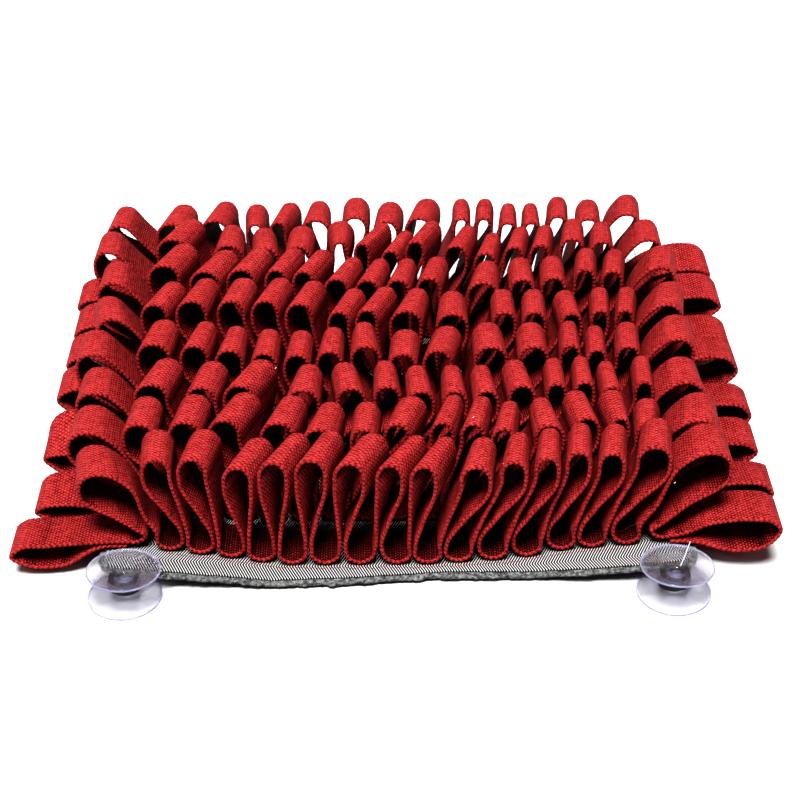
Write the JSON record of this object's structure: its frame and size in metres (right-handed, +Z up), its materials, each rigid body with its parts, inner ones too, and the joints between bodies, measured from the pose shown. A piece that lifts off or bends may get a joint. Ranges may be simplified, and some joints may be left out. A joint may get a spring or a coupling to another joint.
{
  "type": "snuffle mat",
  "caption": "Cloth foraging mat: red webbing folded into rows of standing loops, sewn to a herringbone base with a suction cup at each corner.",
  "frame": {"origin": "on the floor, under the middle of the mat's bounding box", "axes": "+X to the right along the rows, +Y to the rear row, +Z up"},
  "size_m": [0.3789, 0.337, 0.0741],
  "materials": {
    "webbing": "coarse woven tape",
    "face_cloth": "herringbone weave",
    "felt": "mottled needle felt",
    "backing": "non-slip backing cloth",
    "cup": "clear soft vinyl",
    "tab": "woven tape"
  },
  "bodies": {
    "root": {"base_backing": "backing", "base_felt": "felt", "base_cloth": "face_cloth", "webbing_row_1": "webbing", "webbing_row_2": "webbing", "webbing_row_3": "webbing", "webbing_row_4": "webbing", "webbing_row_5": "webbing", "webbing_row_6": "webbing", "webbing_row_7": "webbing", "webbing_row_8": "webbing", "suction_cup_front_left": "cup", "suction_cup_front_right": "cup", "suction_cup_rear_left": "cup", "suction_cup_rear_right": "cup", "cup_tab_front_left": "tab", "cup_tab_front_right": "tab", "cup_tab_rear_left": "tab", "cup_tab_rear_right": "tab"}
  },
  "joints": []
}
